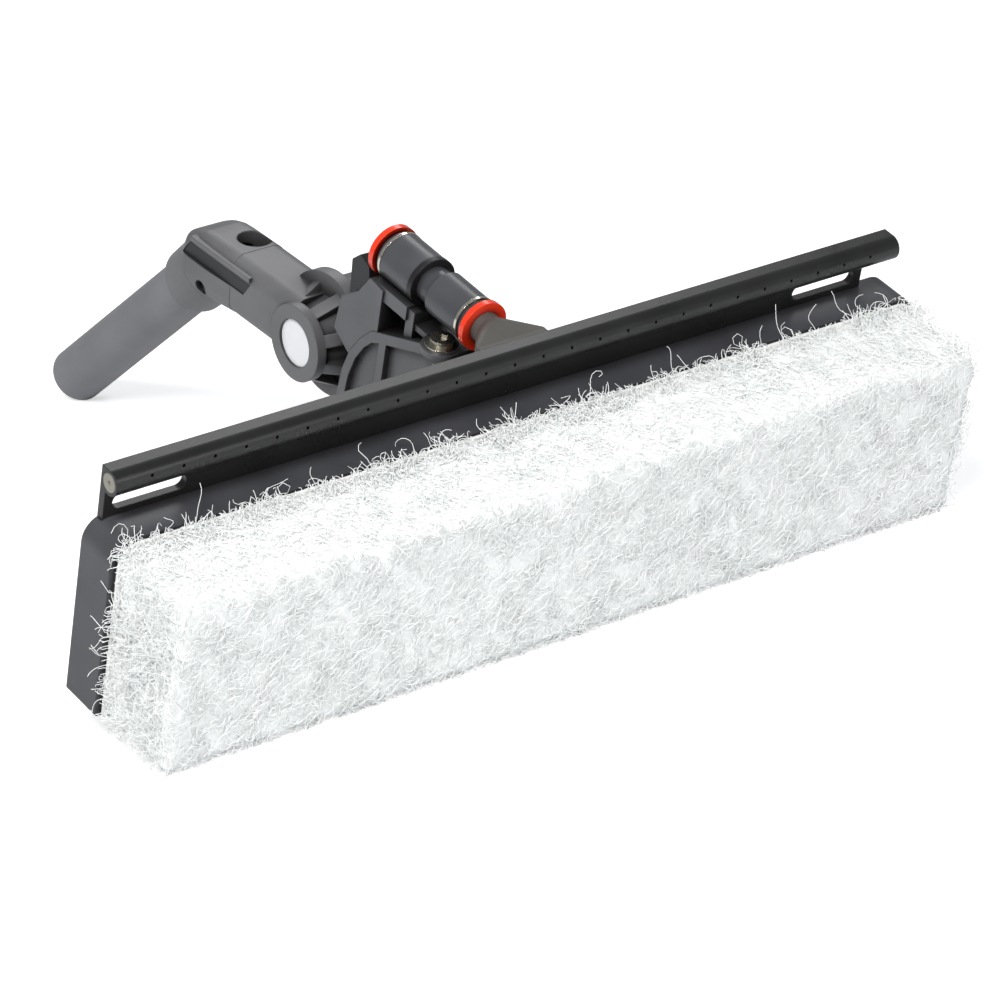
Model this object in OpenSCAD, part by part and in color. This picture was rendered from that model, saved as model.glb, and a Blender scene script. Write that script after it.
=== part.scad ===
// Window scrubbing head with a rinse bar and a gooseneck, at real size in millimetres.
// Every piece is drawn in the head's own frame: X runs along the bar, Y runs back towards
// the pole, Z runs up the pad, and the bar's rear top edge lies at Y = 0 and Z = 0.
// place() then leans the head to the pose in which it lies on a table: on the pad's lower
// front edge and on the end of the gooseneck's tube.

/* [Rinse bar] */
// Length of the rinse bar
bar_length = 346; // [280:1:460]
// Depth of the bar from its flat back to its round nose
bar_depth = 9.5; // [9:0.1:12]
// Height of the bar's tubular part
bar_height = 9.5; // [9:0.1:10.5]
// Radius of the water channel along the bar
channel_radius = 3; // [2:0.1:3.2]
// Distance from one jet to the next
jet_pitch = 12.7; // [8:0.1:25]
// Number of jets
jet_count = 26; // [4:2:26]
// Radius of a jet
jet_radius = 0.6; // [0.4:0.05:0.9]
// Thickness of the flange below the bar
flange_thickness = 3; // [2.4:0.1:4]
// Height of the flange below the bar
flange_height = 32; // [26:0.5:40]
// How far the flange ends short of the bar's right end
flange_inset = 11; // [4:0.5:20]
// Length of a slot in the flange
slot_length = 30; // [15:1:40]
// Height of a slot in the flange
slot_height = 6; // [4.5:0.1:6.4]

/* [Pad and holder] */
// Length of the pad holder
holder_length = 357; // [290:1:470]
// Height of the pad holder
holder_height = 71.8; // [60:0.2:100]
// Depth of the pad holder
holder_depth = 17.5; // [14:0.1:24]
// Wall of the pad holder
holder_wall = 3; // [2:0.1:4]
// Radius of the holder's upper corners
holder_corner = 9; // [5:0.5:12]
// Distance from the bar's top down to the holder's top
holder_drop = 20.4; // [20:0.1:24]
// Length of the fibre pad
pad_length = 353; // [280:1:460]
// Thickness of the fibre pad
pad_thickness = 37; // [20:0.5:50]
// How far the pad stays inside the holder's top and bottom edges
pad_margin = 0.4; // [0:0.1:3]
// Thickness of the hook sheet on the holder
hook_thickness = 1.2; // [0.8:0.1:2]
// Thickness of the loop sheet on the pad
loop_thickness = 1.4; // [0.8:0.1:2.5]

/* [Pivot] */
// Distance from the head's back to the pivot
pivot_back = 104.7; // [100:0.1:116]
// Distance from the bar's top down to the pivot
pivot_drop = 60.2; // [56:0.1:64]
// Radius of the neck hub's end boss
boss_radius = 15; // [13:0.1:16.5]
// Radius of the neck hub's rim
rim_radius = 24.4; // [21:0.1:25]
// Radius of the bracket's hub
ring_radius = 19.5; // [17:0.1:20.5]
// Number of ribs around the neck hub
rib_count = 8; // [6:1:10]
// Radius of the pivot bolt
bolt_radius = 4; // [3:0.1:4.5]
// Radius of the lock button
button_radius = 9.3; // [8.5:0.05:9.5]
// Travel of the lock button
button_travel = 2.8; // [1.5:0.1:3]
// How far the button sits below the boss's face
button_recess = 1; // [0.4:0.1:1.6]

/* [Gooseneck] */
// Width and height of the neck's square arm
arm_size = 25; // [22:0.2:27]
// Radius of the arm's long edges
arm_corner = 6.5; // [3:0.5:9]
// Distance from the pivot back to the elbow's corner
elbow_reach = 62; // [54:0.5:90]
// Angle of the tube below the arm
tube_angle = 51; // [30:1:65]
// Radius of the pole tube
tube_radius = 11.1; // [9:0.05:11.6]
// Bore radius of the pole tube
tube_bore = 8.6; // [6:0.1:8.8]
// Distance from the elbow's corner to the tube's end
tube_reach = 140; // [110:1:220]

/* [Push-in union] */
// Radius of the hose and of the inlet stem
hose_radius = 6; // [5:0.05:6]
// Radius of the union's rear part
union_radius = 9.7; // [9.3:0.1:10]
// Radius of the union's front part
front_radius = 8.8; // [8.6:0.1:9.3]
// Radius of the union's waist
waist_radius = 7.2; // [7:0.1:8]
// Length of the union's body
union_length = 49; // [44:0.5:52]
// Distance from the head's back to the union's body
union_start = 21; // [19:0.5:24]
// Radius of the collets' flanges
collet_radius = 10.2; // [9.4:0.1:10.6]
// Travel of a collet
collet_travel = 1.2; // [0.6:0.1:1.6]

/* [Bracket] */
// Width of the bracket
bracket_width = 24; // [23:0.5:25]
// Wall of the bracket's flanges and ribs
bracket_wall = 4; // [3:0.1:5]
// Distance of a saddle screw from the middle
screw_side = 8.4; // [8.2:0.1:8.8]
// Distance from the head's back to the saddle screws
screw_back = 29; // [27:0.1:30]

/* [Hidden] */
$fn = 64;

// Clearance of a running fit, between two bodies that turn or slide
running = 0.05;
// Clearance between pieces of one body that only have to go together
easy = 0.15;
// How far a cutter runs past the face that it cuts
past = 1;

// Rinse bar
bar_end = bar_length / 2;
nose_radius = bar_height / 2;
channel_y = nose_radius - bar_depth;
channel_z = -bar_height / 2;
jet_lift = 20;
slot_margin = 3.5;
flange_bottom = -bar_height - flange_height;
flange_end = bar_end - flange_inset;
slot_z = -(bar_height + holder_drop) / 2;
plug_radius = channel_radius + 0.5;
plug_flange = 1.2;
plug_depth = 8;
plug_bore = 0.8;
port_radius = 2.4;

// Pad holder, with its screws
holder_top = -holder_drop;
holder_bottom = holder_top - holder_height;
holder_floor = holder_wall - holder_depth;
rib_wall = 2;
rib_pitch = 29;
rib_side = 5;
screw_outer_x = holder_length * 0.378;
screw_inner_x = holder_length * 0.126;
low_corner = 1.6;
cover_top = flange_bottom - 0.3;
cover_inset = holder_wall + easy;
boss_wall = 2.4;
screw_shank = 1.6;
screw_head = 3.1;
screw_head_height = 2;
screw_tip = holder_floor + 3.5;
manifold_screw_tip = 0.6 - flange_thickness;
screw_rows = [flange_bottom + 6, holder_bottom + 14];

// Fibre pad and its two sheets
loop_back = -holder_depth - hook_thickness;
pad_back = loop_back - loop_thickness;
pad_front = pad_back - pad_thickness;
pad_top = holder_top - pad_margin;
pad_bottom = holder_bottom + pad_margin;

// Push-in union, along Y at the height of the bar's channel
union_z = channel_z;
union_end = union_start + union_length;
front_part = 20;
rear_part = 20.5;
cap_step = 1.4;
ring_length = 1.2;
ring_height = 0.6;
collet_gap = collet_travel + 0.1;
collet_flange = 2.5;
collet_depth = 5;
collet_step = 0.5;
body_bore = hose_radius + 1.55;
bore_depth = 10;
hose_stop = 15;
passage_radius = 4.5;
grab_depth = 6.5;
grab_thickness = 0.6;
seal_depth = 8.8;
seal_wire = 0.7;

// Inlet manifold
manifold_width = 30;
manifold_plate = 3;
manifold_gap = 0.3;
flare_end = 14;
stem_end = union_start + 12;
stem_bore = hose_radius - 2;
inlet_ring = port_radius + seal_wire + 0.4;
ear_screw_x = 10.8;
ear_screw_z = slot_z;

// Bracket, with its outline in the plane of Y and Z
pivot_z = -pivot_drop;
deck_z = -holder_drop + 0.8;
deck_front = 36;
half_width = bracket_width / 2;
rib_half = 2;
panel_depth = 2.5;
rib_y = 57;
brow_z = deck_z - 8.8;
bracket_bottom = -88;
bracket_screw_x = 8;
bracket_screw_high = -34;
bracket_screw_low = -76;
screw_pocket_side = 4.4;
screw_pocket = 8;
block_back = 18;
rim_gap = 1.2;

// Pivot, along X
hub_left = -14;
boss_right = -10;
rim_left = 0.5;
rim_right = 5.55;
core_left = 12.5;
core_right = 15.5;
hub_rib_wall = 5;
hub_rib_height = 20.2;
hub_rib_start = 16;
hub_front = 6;
hub_back = 20;
hub_end = 22;
hub_boss = 12;
button_floor = -6;
button_skin = 1.5;
wall_right = -3;
bolt_head_radius = 6.2;
bolt_head = 2.5;
bolt_end = 20.8;
leg_inner = bolt_head_radius + 0.7;
leg_outer = button_radius - 0.3;
leg_count = 3;
leg_angle = 16;
leg_start = -53;
leg_gap = 2;
swing_up = 45;
swing_down = 35;
cone_small = 11.9;
cone_large = 13.4;
cone_right = 3;
cone_bore = 5;
cone_gap = 0.06;
key_size = 17;
key_right = 9;
pocket_end = key_right + button_travel + 1.2;
spring_radius = 6.1;
spring_wire = 0.7;
spring_turns = 4;
spring_left = 2;
nut_seat = 16;
nut_flats = 13;
nut_height = 3.4;
washer_thickness = 1.2;
washer_radius = 7.6;
nut_pocket = 8.9;
cap_left = 21;

// Gooseneck
neck_x = -1;
arm_clear = ring_radius + 1.2;
arm_start = 3;
arm_lift = 3.3;
arm_tilt = 5;
elbow_size = arm_size + 0.2;
elbow_back = elbow_reach - 19;
elbow_turn = 26;
elbow_turn_back = elbow_reach - 2.25;
elbow_turn_drop = 15.7;
elbow_sections = 4;
socket_radius = tube_radius + 2.9;
socket_step = 0.4;
socket_start = 10.8;
socket_end = 28.5;
tube_start = 2;
tube_spigot = tube_radius - 0.4;
hose_hole_radius = 6.7;
hose_hole_side = 3.6;
hose_way = 7.8;
hose_way_depth = 6;
hose_hole_back = elbow_reach - 10;
recess_length = 40;
recess_front = elbow_reach - 31.7;
recess_low = 0.5;
recess_height = 6;
recess_slant = 4.3;
recess_depth = 1.3;
inlay_sink = 0.4;
inlay_gap = 0.15;
lip_height = 2;
lip_rise = 0.7;
tube_screw_radius = 2.9;
tube_screw_back = elbow_reach - 2.4;
tube_screw_drop = 10.5;
tube_screw_depth = 1.2;
tube_screw_tip = 1.2;

// Saddle
saddle_inner = union_radius + easy;
saddle_half = 11;
saddle_lip = union_z - 6.5;
saddle_low = union_z - saddle_inner - 2.4;
saddle_front = union_end - rear_part - 2;
saddle_back = union_end - 1;
saddle_web = 1.5;
post_front = 3.5;
post_back = 61;
post_root = deck_z - 21;
foot_height = 2.4;
foot_front = screw_back - 7;
foot_half = 9;
foot_radius = 7.5;
deck_screw = 2.4;
deck_head = 4.5;
deck_head_height = 2.1;
deck_washer = 6.3;
deck_washer_height = 1.2;
deck_screw_depth = 9;
socket_drive = 2.2;

// Hose rest
rest_left = -5;
rest_right = 9;
rest_foot_right = 15;

// Rest pose: the table touches the pad's lower front edge and the tube's lower rim
tube_end_y = pivot_back + elbow_reach + tube_reach * cos(tube_angle) - tube_radius * sin(tube_angle);
tube_end_z = pivot_z - tube_reach * sin(tube_angle) - tube_radius * cos(tube_angle);
tube_rim_y = tube_end_y + 2 * tube_radius * sin(tube_angle);
tube_rim_z = tube_end_z + 2 * tube_radius * cos(tube_angle);
lean = atan2(pad_bottom - tube_end_z, tube_end_y - pad_front);
floor_z = pad_front * sin(lean) + pad_bottom * cos(lean);
front_y = pad_front * cos(lean) - pad_top * sin(lean);
rear_y = tube_rim_y * cos(lean) - tube_rim_z * sin(lean);

// Moves the head's frame to the rest pose, centred over the origin
module place() {
    translate([0, -(front_y + rear_y) / 2, -floor_z])
        rotate([lean, 0, 0])
            children();
}

// Extrudes a drawing of Y and Z along X
module across(x0, x1) {
    translate([x0, 0, 0])
        rotate([90, 0, 90])
            linear_extrude(x1 - x0)
                children();
}

// Extrudes a drawing of X and Z along Y
module along(y0, y1) {
    translate([0, y1, 0])
        rotate([90, 0, 0])
            linear_extrude(y1 - y0)
                children();
}

// A round bar along X
module bar_x(x0, x1, r) {
    translate([x0, 0, 0])
        rotate([0, 90, 0])
            cylinder(r = r, h = x1 - x0);
}

// A round bar along Y
module bar_y(y0, y1, r) {
    translate([0, y0, 0])
        rotate([-90, 0, 0])
            cylinder(r = r, h = y1 - y0);
}

// A ring along Y
module ring_y(y0, y1, r_in, r_out) {
    difference() {
        bar_y(y0, y1, r_out);
        bar_y(y0 - past, y1 + past, r_in);
    }
}

// A rectangle with round corners
module rounded(w, h, r) {
    square([w - 2 * r, h], center = true);
    square([w, h - 2 * r], center = true);
    for (sx = [-1, 1]) {
        for (sz = [-1, 1]) {
            translate([sx * (w / 2 - r), sz * (h / 2 - r)]) circle(r = r);
        }
    }
}

// A sheet of the holder's outline, with large upper corners and small lower ones
module plate(wide, low, high, low_round, top_round) {
    half = wide / 2;
    translate([-half, low + low_round]) square([wide, high - low - low_round - top_round]);
    translate([low_round - half, low]) square([wide - 2 * low_round, low_round + past]);
    translate([top_round - half, high - top_round - past]) square([wide - 2 * top_round, top_round + past]);
    for (sx = [-1, 1]) {
        translate([sx * (half - low_round), low + low_round]) circle(r = low_round);
        translate([sx * (half - top_round), high - top_round]) circle(r = top_round);
    }
}

// A piece of a ring along X, from one angle to another
module arc_x(x0, x1, r_in, r_out, a0, a1) {
    translate([x0, 0, 0])
        rotate([90, 0, 90])
            rotate([0, 0, a0])
                rotate_extrude(angle = a1 - a0)
                    translate([r_in, 0])
                        square([r_out - r_in, x1 - x0]);
}

// Moves children to the pivot's axis
module at_pivot() {
    translate([0, pivot_back, pivot_z]) children();
}

// Moves children to the union's axis
module at_union() {
    translate([0, 0, union_z]) children();
}

// Turns children so that their Y runs back along the neck's arm
module at_arm() {
    translate([neck_x, pivot_back, pivot_z + arm_lift])
        rotate([-arm_tilt, 0, 0])
            children();
}

// Turns children so that their Z runs down the pole tube from the elbow's corner
module at_tube() {
    translate([neck_x, pivot_back + elbow_reach, pivot_z])
        rotate([-90 - tube_angle, 0, 0])
            children();
}

// A screw along Y with a round head at the rear, from its tip to its seat
module screw_y(tip, seat) {
    bar_y(tip, seat, screw_shank);
    difference() {
        bar_y(seat, seat + screw_head_height, screw_head);
        along(seat + screw_head_height / 2, seat + screw_head_height + past)
            square([screw_head * 1.2, 0.8], center = true);
    }
}

// Places of the screws that hold the flange and the cover to the holder
module cover_places() {
    for (x = [-screw_outer_x, -screw_inner_x, screw_inner_x, screw_outer_x]) {
        for (z = screw_rows) {
            translate([x, 0, z]) children();
        }
    }
}

// Places of the screws that hold the bracket
module bracket_places() {
    for (sx = [-1, 1]) {
        for (z = [bracket_screw_high, bracket_screw_low]) {
            translate([sx * bracket_screw_x, 0, z]) children();
        }
    }
}

// Places of the manifold's screws
module ear_places() {
    for (sx = [-1, 1]) {
        translate([sx * ear_screw_x, 0, ear_screw_z]) children();
    }
}

// Places of the saddle's screws
module saddle_places() {
    for (sx = [-1, 1]) {
        translate([sx * screw_side, screw_back, deck_z]) children();
    }
}

// A slot with round ends
module slot_shape() {
    square([slot_length - slot_height, slot_height], center = true);
    for (sx = [-1, 1]) {
        translate([sx * (slot_length - slot_height) / 2, 0]) circle(r = slot_height / 2);
    }
}

// Bar with a flat back, a round nose, a water channel, jets and a flange with two slots
module rinse_bar() {
    color("#5b5e5f") difference() {
        union() {
            translate([0, channel_y, channel_z]) bar_x(-bar_end, bar_end, nose_radius);
            across(-bar_end, bar_end)
                translate([channel_y, -bar_height])
                    square([-channel_y, bar_height]);
            across(-bar_end, flange_end)
                translate([-flange_thickness, flange_bottom])
                    square([flange_thickness, flange_height + past]);
        }
        translate([0, channel_y, channel_z])
            bar_x(-bar_end - past, bar_end + past, channel_radius);
        for (sx = [-1, 1]) {
            translate([sx * (bar_end - plug_flange / 2), channel_y, channel_z])
                bar_x(-plug_flange / 2 - (past - sx * past) / 2, plug_flange / 2 + (past + sx * past) / 2,
                    plug_radius + running);
        }
        for (i = [0:jet_count - 1]) {
            translate([(i - (jet_count - 1) / 2) * jet_pitch, channel_y, channel_z])
                rotate([90 - jet_lift, 0, 0])
                    cylinder(r = jet_radius, h = bar_depth, $fn = 16);
        }
        at_union() bar_y(channel_y, past, port_radius);
        translate([-bar_end + slot_margin + slot_length / 2, 0, slot_z])
            along(-flange_thickness - past, past)
                slot_shape();
        translate([flange_end - slot_margin - slot_length / 2, 0, slot_z])
            along(-flange_thickness - past, past)
                slot_shape();
        ear_places() bar_y(manifold_screw_tip - easy, past, screw_shank + running);
        cover_places() bar_y(-flange_thickness - past, past, screw_shank + running);
        bracket_places() bar_y(-flange_thickness - past, past, screw_shank + running);
    }
}

// Plug with a small end jet, for one end of the bar; side is -1 or 1
module end_plug(side) {
    color("#b9b4a6")
        translate([side * bar_end, channel_y, channel_z])
            rotate([0, 0, 90 - side * 90])
                difference() {
                    union() {
                        bar_x(-plug_flange, 0, plug_radius);
                        bar_x(-plug_depth, -plug_flange, channel_radius - running);
                    }
                    bar_x(-plug_depth - past, past, plug_bore);
                }
}

module left_end_plug() {
    end_plug(-1);
}

module right_end_plug() {
    end_plug(1);
}

// Tray that carries the pad, open to the rear, with ribs and screw bosses
module pad_holder() {
    mid_z = (holder_top + holder_bottom) / 2;
    inner_w = holder_length - 2 * holder_wall;
    inner_h = holder_height - 2 * holder_wall;
    color("#4b4e50") difference() {
        union() {
            difference() {
                along(-holder_depth, 0)
                    plate(holder_length, holder_bottom, holder_top, low_corner, holder_corner);
                along(holder_floor, past)
                    plate(inner_w, holder_bottom + holder_wall, holder_top - holder_wall, low_corner,
                        holder_corner - holder_wall);
            }
            for (i = [-rib_side:rib_side]) {
                translate([i * rib_pitch, 0, mid_z])
                    along(holder_floor, -flange_thickness)
                        square([rib_wall, inner_h], center = true);
            }
            translate([0, 0, mid_z])
                along(holder_floor, -flange_thickness)
                    square([inner_w, rib_wall], center = true);
            cover_places() bar_y(holder_floor, -flange_thickness, screw_shank + boss_wall);
            bracket_places() bar_y(holder_floor, -flange_thickness, screw_shank + boss_wall);
        }
        translate([-bar_end - easy, -flange_thickness, holder_top - holder_wall - past])
            cube([bar_end + flange_end + 2 * easy, flange_thickness + past, holder_wall + 2 * past]);
        cover_places() bar_y(screw_tip - easy, past, screw_shank + running);
        bracket_places() bar_y(screw_tip - easy, past, screw_shank + running);
    }
}

// Plate that closes the tray below the bar's flange
module holder_cover() {
    low = holder_bottom + cover_inset;
    high = holder_top - cover_inset;
    wide = holder_length - 2 * cover_inset;
    color("#54575a") difference() {
        along(-flange_thickness, 0)
            plate(wide, low, high, low_corner, holder_corner - holder_wall);
        translate([-holder_length, -flange_thickness - past, cover_top])
            cube([holder_length + flange_end + easy, flange_thickness + 2 * past, holder_height]);
        cover_places() bar_y(-flange_thickness - past, past, screw_shank + running);
        bracket_places() bar_y(-flange_thickness - past, past, screw_shank + running);
    }
}

// Screws that hold the flange and the cover to the tray
module cover_screws() {
    color("#8d9092") cover_places() screw_y(screw_tip, 0);
}

// A sheet or slab of the pad's outline
module pad_slab(y0, y1) {
    along(y0, y1)
        plate(pad_length, pad_bottom, pad_top, low_corner, holder_corner - pad_margin);
}

module hook_sheet() {
    color("#2b2c2e") pad_slab(loop_back, -holder_depth);
}

module loop_sheet() {
    color("#d8d6cf") pad_slab(pad_back, loop_back);
}

module fibre_pad() {
    color("#eef0ee") pad_slab(pad_front, pad_back);
}

// Fishtail that brings the water from the union's front into the bar
module inlet_manifold() {
    ear_low = deck_z + manifold_gap;
    flare_high = bar_height - 2 * manifold_gap;
    color("#5f5c54") difference() {
        union() {
            along(0, manifold_plate)
                translate([-manifold_width / 2, ear_low])
                    square([manifold_width, -manifold_gap - ear_low]);
            hull() {
                at_union()
                    along(manifold_plate - 1, manifold_plate)
                        square([manifold_width, flare_high], center = true);
                at_union() bar_y(flare_end - 1, flare_end, hose_radius, $fn = 32);
            }
            at_union() bar_y(flare_end - 1, stem_end, hose_radius);
        }
        at_union() bar_y(-past, flare_end, port_radius);
        at_union() bar_y(flare_end - stem_bore, stem_end + past, stem_bore);
        at_union() ring_y(-past, seal_wire * 2, inlet_ring - seal_wire, inlet_ring + seal_wire);
        ear_places() bar_y(-past, manifold_plate + past, screw_shank + running);
    }
}

// Seal between the manifold and the bar's back, in the manifold's groove
module inlet_seal() {
    color("#1c1c1e")
        at_union()
            translate([0, seal_wire, 0])
                rotate([-90, 0, 0])
                    rotate_extrude()
                        translate([inlet_ring, 0])
                            circle(r = seal_wire, $fn = 24);
}

module manifold_screws() {
    color("#8d9092") ear_places() screw_y(manifold_screw_tip, manifold_plate);
}

// Side view of the bracket
module bracket_outline() {
    polygon([
        [0, bracket_bottom], [0, deck_z], [deck_front, deck_z], [rib_y + 0.5, brow_z],
        [pivot_back - 40.7, pivot_z + 29.2], [pivot_back - 34.7, pivot_z + 22.2],
        [pivot_back - 29.7, pivot_z + 14.2], [pivot_back - 26.7, pivot_z + 4.2],
        [pivot_back - 25.7, pivot_z - 6.8], [pivot_back - 27.7, pivot_z - 15.8],
        [pivot_back - 34.7, pivot_z - 20.8]
    ]);
}

// The bracket's hollow panel in front of its upright rib
module front_panel() {
    polygon([
        [bracket_wall, bracket_bottom + bracket_wall + 0.4], [bracket_wall, deck_z - bracket_wall],
        [deck_front - 1, deck_z - bracket_wall], [rib_y - rib_half, brow_z - bracket_wall + 0.6],
        [rib_y - rib_half, bracket_bottom + bracket_wall + 5.5]
    ]);
}

// The bracket's hollow panel behind its upright rib
module rear_panel() {
    polygon([
        [rib_y + rib_half, brow_z - bracket_wall - 1], [pivot_back - 41.5, pivot_z + 24.5],
        [pivot_back - 37.5, pivot_z + 20], [pivot_back - 33.5, pivot_z + 13],
        [pivot_back - 30.8, pivot_z + 4], [pivot_back - 29.8, pivot_z - 6],
        [pivot_back - 31.5, pivot_z - 13], [pivot_back - 36, pivot_z - 16.5],
        [rib_y + rib_half, bracket_bottom + bracket_wall + 6]
    ]);
}

// Side view of the block that carries the bracket's hub, about the pivot
module block_outline() {
    polygon([
        [-44, -21], [-44, 29], [-40.7, 29.2], [0, ring_radius], [0, -ring_radius], [-34.7, -20.8]
    ]);
}

// Bracket from the head to the pivot
module pivot_bracket() {
    color("#4f5254") difference() {
        union() {
            difference() {
                across(-half_width, half_width) bracket_outline();
                across(-half_width - past, panel_depth - half_width) front_panel();
                across(-half_width - past, panel_depth - half_width) rear_panel();
                across(half_width - panel_depth, half_width + past) front_panel();
                across(half_width - panel_depth, half_width + past) rear_panel();
                at_pivot() bar_x(-half_width - past, hub_front - running, rim_radius + rim_gap);
            }
            at_pivot() across(hub_front, block_back) block_outline();
            at_pivot() bar_x(hub_front, hub_back, ring_radius);
            at_pivot() bar_x(hub_back, hub_end, hub_boss);
        }
        at_pivot()
            across(hub_front - past, pocket_end)
                square([key_size + 2 * easy, key_size + 2 * easy], center = true);
        at_pivot() bar_x(hub_front, hub_end, bolt_radius + running);
        at_pivot() bar_x(nut_seat, hub_end + past, nut_pocket);
        bracket_places() bar_y(-past, bracket_wall + past, screw_shank + running);
        for (z = [bracket_screw_high, bracket_screw_low]) {
            translate([-half_width - past, bracket_wall, z - screw_pocket / 2])
                cube([half_width + past - screw_pocket_side, screw_pocket, screw_pocket]);
            translate([screw_pocket_side, bracket_wall, z - screw_pocket / 2])
                cube([half_width + past - screw_pocket_side, screw_pocket, screw_pocket]);
        }
        saddle_places()
            translate([0, 0, -deck_screw_depth])
                cylinder(r = deck_screw + running, h = deck_screw_depth + past);
    }
}

module bracket_screws() {
    color("#8d9092") bracket_places() screw_y(screw_tip, bracket_wall);
}

// Side view of the saddle's rear post, which also backs the bracket's hub
module post_outline() {
    polygon([
        [post_back, post_root], [post_back, saddle_lip - 1], [saddle_back, saddle_lip],
        [pivot_back - 30, pivot_z + 40], [pivot_back - 21, pivot_z + 33], [pivot_back - 19, pivot_z + 18],
        [pivot_back - 30, pivot_z + 12]
    ]);
}

// Cradle under the union's rear half, with a foot on the bracket's deck
module union_saddle() {
    strut = saddle_front - post_front;
    color("#606365") difference() {
        union() {
            translate([-saddle_half, saddle_front, saddle_low])
                cube([2 * saddle_half, saddle_back - saddle_front, saddle_lip - saddle_low]);
            translate([-saddle_half + past, strut, post_root])
                cube([2 * (saddle_half - past), post_front + past, saddle_lip - post_root - past]);
            across(-half_width + easy, half_width - easy) post_outline();
            translate([-saddle_web, strut + past, post_root])
                cube([2 * saddle_web, post_back - strut, saddle_low + past - post_root]);
            translate([-foot_half, foot_front, post_root])
                cube([2 * foot_half, strut + past - foot_front, deck_z + foot_height - post_root]);
            saddle_places() cylinder(r = foot_radius, h = foot_height);
        }
        across(-half_width - past, half_width + past) bracket_outline();
        at_pivot() across(hub_front, block_back) block_outline();
        at_pivot() bar_x(-half_width - past, hub_front, rim_radius + rim_gap);
        translate([-half_width - past, 0, deck_z - half_width])
            cube([bracket_width + 2 * past, strut, half_width]);
        at_union() bar_y(0, saddle_back + 2 * half_width, saddle_inner);
        at_union() bar_y(union_end - past, saddle_back + 2 * half_width, collet_radius + 2 * easy);
        saddle_places() cylinder(r = deck_screw + running, h = foot_height + past);
    }
}

// Socket screws of the saddle
module saddle_screws() {
    seat = foot_height + deck_washer_height;
    color("#a9a899") saddle_places() {
        translate([0, 0, -deck_screw_depth + easy])
            cylinder(r = deck_screw, h = seat + deck_screw_depth - easy);
        difference() {
            translate([0, 0, seat]) cylinder(r = deck_head, h = deck_head_height);
            translate([0, 0, seat + deck_head_height / 3])
                cylinder(r = socket_drive, h = deck_head_height, $fn = 6);
        }
    }
}

module saddle_washers() {
    color("#c9c8bd") saddle_places()
        translate([0, 0, foot_height])
            difference() {
                cylinder(r = deck_washer, h = deck_washer_height);
                translate([0, 0, -past])
                    cylinder(r = deck_screw + running, h = deck_washer_height + 2 * past);
            }
}

// Block behind the union on which the hose rests
module hose_rest() {
    color("#141416") difference() {
        at_pivot() {
            across(rest_left, rest_right)
                polygon([[-28, 38], [-22, 30], [-17, 30], [-16, 44], [-20, 48], [-26, 46]]);
            across(hub_front + 0.5, rest_foot_right)
                polygon([[-19, 18], [-10, 15], [-12, 32], [-18.5, 32]]);
        }
        at_pivot() across(hub_front, block_back) block_outline();
        at_pivot() bar_x(-half_width - past, hub_back, ring_radius);
        across(-half_width - past, half_width) post_outline();
    }
}

// Body of the push-in union, with a bore for a hose at each end
module union_body() {
    step_front = union_start + cap_step + ring_length;
    step_rear = union_end - cap_step - ring_length;
    seat = union_end - rear_part + ring_length;
    color("#55585a") at_union() difference() {
        union() {
            bar_y(union_start, union_end, waist_radius);
            bar_y(union_start, step_front, front_radius - ring_height);
            bar_y(step_front, union_start + front_part, front_radius);
            bar_y(seat, step_rear, union_radius);
            bar_y(step_rear, union_end, union_radius - ring_height);
        }
        bar_y(union_start - past, union_end + past, passage_radius);
        bar_y(union_start - past, union_start + bore_depth, body_bore);
        bar_y(union_start - past, union_start + hose_stop, hose_radius + running);
        bar_y(union_end - bore_depth, union_end + past, body_bore);
        bar_y(union_end - hose_stop, union_end + past, hose_radius + running);
    }
}

// Black ring between the union's waist and its rear part
module union_ring() {
    seat = union_end - rear_part + ring_length;
    color("#0f0f10") at_union()
        ring_y(seat - 2 * ring_length, seat, waist_radius + running, union_radius + easy);
}

// Release collet at the union's front
module front_collet() {
    color("#e5331c") at_union() difference() {
        union() {
            bar_y(union_start - collet_gap - collet_flange, union_start - collet_gap,
                collet_radius - collet_step);
            bar_y(union_start - collet_gap, union_start + collet_depth, body_bore - running);
        }
        bar_y(0, union_start + collet_depth + past, hose_radius + running);
    }
}

// Release collet at the union's rear
module rear_collet() {
    color("#e5331c") at_union() difference() {
        union() {
            bar_y(union_end + collet_gap, union_end + collet_gap + collet_flange, collet_radius);
            bar_y(union_end - collet_depth, union_end + collet_gap, body_bore - running);
        }
        bar_y(union_end - collet_depth - past, union_end + 2 * collet_flange + past, hose_radius + running);
    }
}

module front_cap_ring() {
    color("#d9cfb4") at_union()
        ring_y(union_start + cap_step, union_start + cap_step + ring_length,
            front_radius - ring_height + running, front_radius + easy);
}

module rear_cap_ring() {
    color("#d9cfb4") at_union()
        ring_y(union_end - cap_step - ring_length, union_end - cap_step,
            union_radius - ring_height + running, union_radius + easy);
}

module front_grab_ring() {
    color("#9a9c9e") at_union()
        ring_y(union_start + grab_depth, union_start + grab_depth + grab_thickness,
            hose_radius + running, body_bore);
}

module rear_grab_ring() {
    color("#9a9c9e") at_union()
        ring_y(union_end - grab_depth - grab_thickness, union_end - grab_depth,
            hose_radius + running, body_bore);
}

// A seal in one of the union's bores
module bore_seal(y) {
    color("#1c1c1e") at_union()
        translate([0, y, 0])
            rotate([-90, 0, 0])
                rotate_extrude()
                    translate([hose_radius + seal_wire + running, 0])
                        circle(r = seal_wire, $fn = 24);
}

module front_seal() {
    bore_seal(union_start + seal_depth);
}

module rear_seal() {
    bore_seal(union_end - seal_depth);
}

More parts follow.
